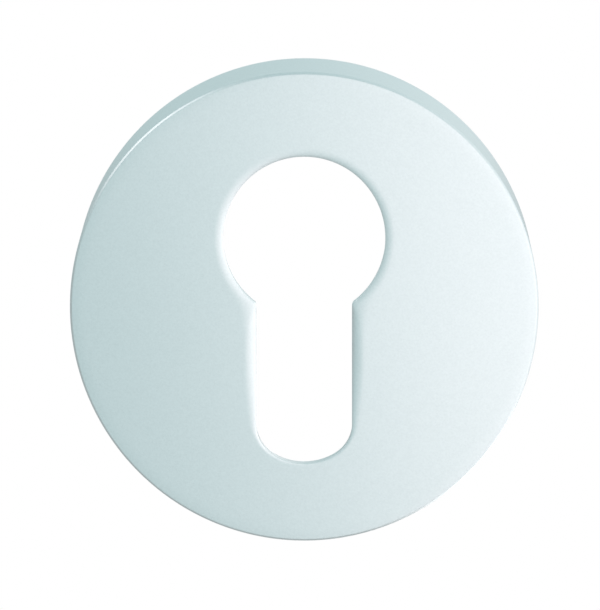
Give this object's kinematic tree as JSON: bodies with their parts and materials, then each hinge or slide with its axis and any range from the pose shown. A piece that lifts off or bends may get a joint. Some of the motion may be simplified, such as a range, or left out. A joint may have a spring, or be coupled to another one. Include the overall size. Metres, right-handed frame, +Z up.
{
  "type": "euro cylinder escutcheon",
  "caption": "Round clip-on door escutcheon with a euro profile opening: satin aluminium cover over a nylon base with spring clips, steel plate, lugs and wood screws.",
  "frame": {"origin": "the rose's axis where it meets the door plane, which is also the centre of the bounding box", "axes": "+Y into the door, so the visible face looks along -Y; +Z up, with the opening's round lobe above its slot; +X to the viewer's right"},
  "size_m": [0.052, 0.016, 0.052],
  "materials": {
    "satin_aluminium": "bead blasted and anodised, satin",
    "glass_filled_nylon": "moulded, light grey, fine texture",
    "zinc_plated_steel": "bright zinc plating",
    "turned_steel": "fine turned, nickel plated",
    "spring_steel": "rolled strip"
  },
  "bodies": {
    "base": {"under_rose": "glass_filled_nylon", "stiffening_plate": "zinc_plated_steel", "lug_left": "turned_steel", "lug_right": "turned_steel", "screw_upper_left": "zinc_plated_steel", "screw_upper_right": "zinc_plated_steel", "screw_lower_left": "zinc_plated_steel", "screw_lower_right": "zinc_plated_steel"},
    "cover": {"cover": "satin_aluminium"},
    "clip_top": {"clip_top": "spring_steel"},
    "clip_left": {"clip_left": "spring_steel"},
    "clip_right": {"clip_right": "spring_steel"}
  },
  "joints": [
    {"name": "cover_pull", "type": "slide", "parent": "base", "child": "cover", "axis": [0, -1, 0], "range_m": [0, 0.02]},
    {"name": "clip_top_press", "type": "slide", "parent": "base", "child": "clip_top", "axis": [0, 0, -1], "range_m": [0, 0.0005], "stiffness_N_per_m": 100},
    {"name": "clip_left_press", "type": "slide", "parent": "base", "child": "clip_left", "axis": [0.866, 0, 0.5], "range_m": [0, 0.0005], "stiffness_N_per_m": 100},
    {"name": "clip_right_press", "type": "slide", "parent": "base", "child": "clip_right", "axis": [-0.866, 0, 0.5], "range_m": [0, 0.0005], "stiffness_N_per_m": 100}
  ]
}
